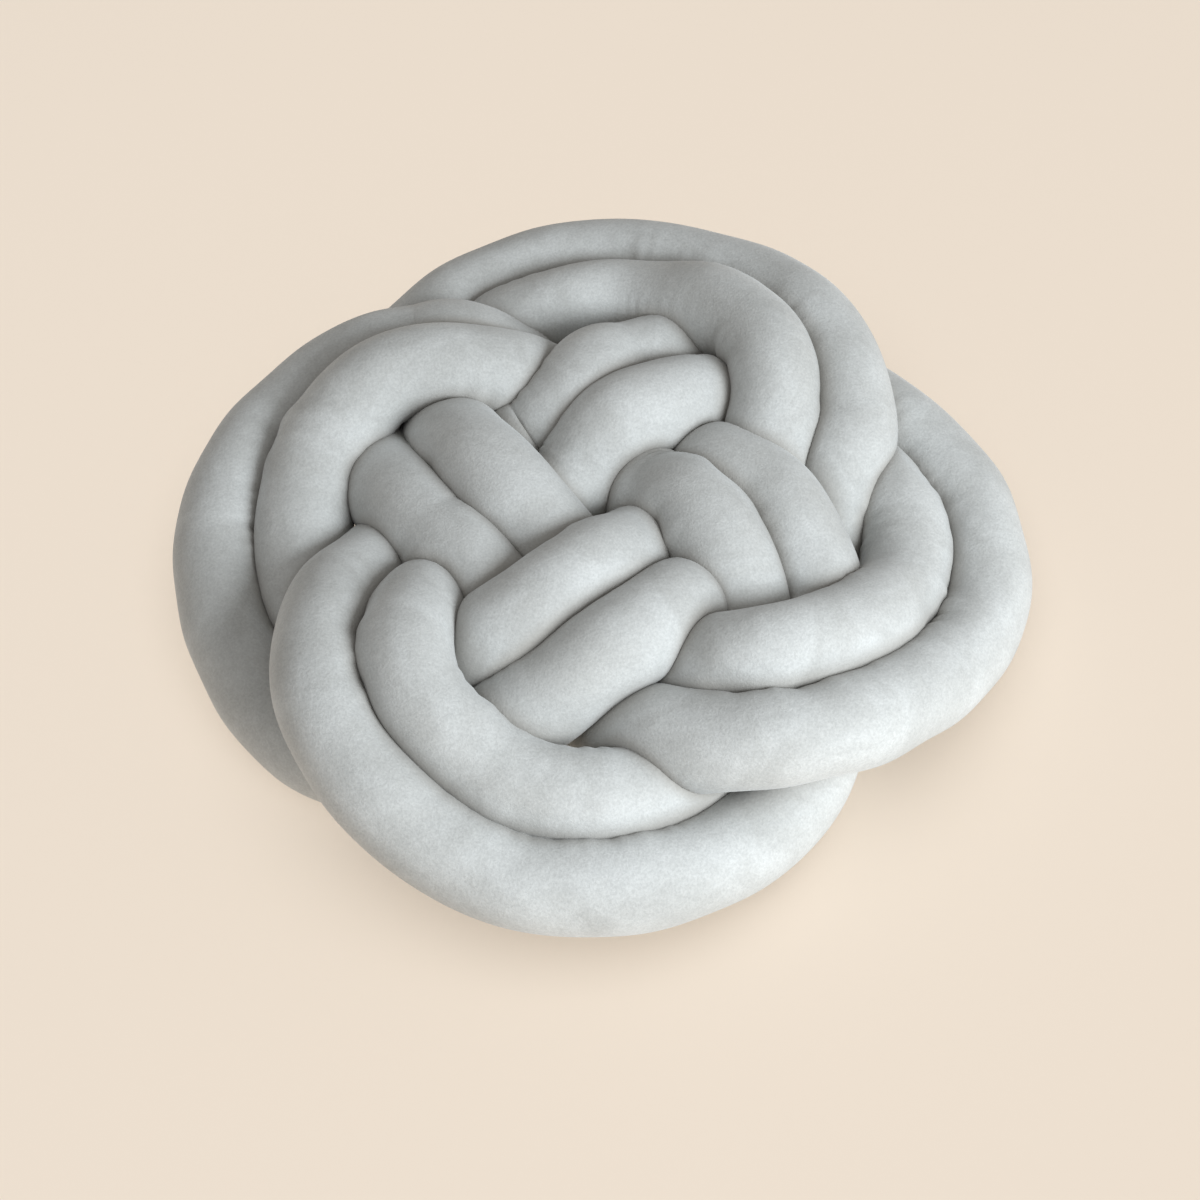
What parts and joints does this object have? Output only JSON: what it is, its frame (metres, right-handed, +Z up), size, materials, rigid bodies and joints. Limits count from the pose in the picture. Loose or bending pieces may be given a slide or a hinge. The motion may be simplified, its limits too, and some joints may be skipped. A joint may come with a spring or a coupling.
{
  "type": "knot cushion",
  "caption": "Round floor and sofa cushion tied from doubled stuffed plush tubes into one flat woven knot.",
  "frame": {"origin": "middle of the cushion's plan at the surface that it lies on", "axes": "+Z up out of the cushion's face, -Y towards the edge that is nearest to the eye, +X to its right"},
  "size_m": [0.5422, 0.5436, 0.1235],
  "materials": {
    "outer_plush": "short-pile plush in a cool pale grey, matt with a soft sheen, brushed in smudges",
    "inner_plush": "short-pile plush in a cool pale grey, matt with a soft sheen, brushed in smudges"
  },
  "bodies": {
    "root": {"outer_tube": "outer_plush", "inner_tube": "inner_plush"}
  },
  "joints": []
}
